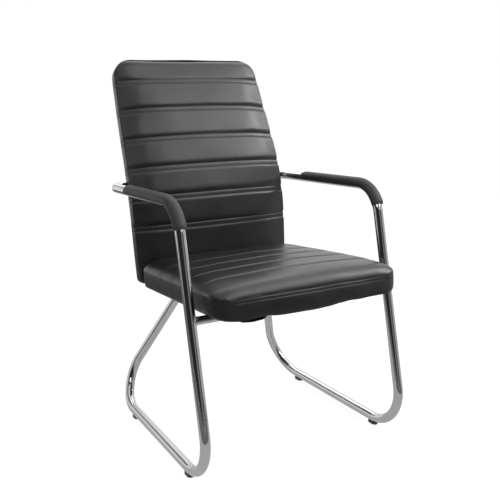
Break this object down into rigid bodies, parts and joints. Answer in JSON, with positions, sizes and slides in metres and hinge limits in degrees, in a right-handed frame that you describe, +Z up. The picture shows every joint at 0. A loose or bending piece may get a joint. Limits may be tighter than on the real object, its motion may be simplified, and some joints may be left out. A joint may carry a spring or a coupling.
{
  "type": "visitor chair",
  "caption": "Black padded visitor chair with a high channel-sewn back, arms and a bent chrome tube frame that stands on two floor runners.",
  "frame": {"origin": "on the floor, below the middle of the chair's width and depth", "axes": "+X to the sitter's left, +Y to the rear, +Z up, so the chair faces -Y"},
  "size_m": [0.6008, 0.7236, 0.9861],
  "materials": {
    "chrome": "bright chrome plate over steel tube",
    "steel": "plain steel tube, hidden inside the bar",
    "black_steel": "black powder coat on flat bar",
    "leather": "black coated leather, soft sheen, fine grain",
    "foam": "open cell upholstery foam",
    "plywood": "plain plywood",
    "dust_cloth": "black non-woven cloth",
    "pad_skin": "black moulded soft polyurethane, satin",
    "glide_plastic": "dark grey moulded plastic",
    "zinc": "zinc plated fasteners"
  },
  "bodies": {
    "root": {"left_side_tube": "chrome", "right_side_tube": "chrome", "front_cross_tube": "chrome", "back_bar_sleeve": "steel", "left_strap": "black_steel", "right_strap": "black_steel", "seat_cover": "leather", "back_cover": "leather", "back_rear_panel": "leather", "seat_foam": "foam", "back_foam": "foam", "seat_board": "plywood", "back_board": "plywood", "seat_dust_cover": "dust_cloth", "left_arm_pad": "pad_skin", "right_arm_pad": "pad_skin", "front_left_glide": "glide_plastic", "front_right_glide": "glide_plastic", "rear_left_glide": "glide_plastic", "rear_right_glide": "glide_plastic", "seat_bolt_front_left": "zinc", "seat_bolt_rear_left": "zinc", "seat_bolt_front_right": "zinc", "seat_bolt_rear_right": "zinc", "strap_bolt_low_left": "zinc", "strap_bolt_high_left": "zinc", "strap_bolt_low_right": "zinc", "strap_bolt_high_right": "zinc", "back_bolt_left": "zinc", "back_bolt_right": "zinc", "seat_nut_front_left": "zinc", "seat_nut_rear_left": "zinc", "seat_nut_front_right": "zinc", "seat_nut_rear_right": "zinc", "strap_nut_low_left": "zinc", "strap_nut_high_left": "zinc", "strap_nut_low_right": "zinc", "strap_nut_high_right": "zinc", "back_nut_left": "zinc", "back_nut_right": "zinc"}
  },
  "joints": []
}
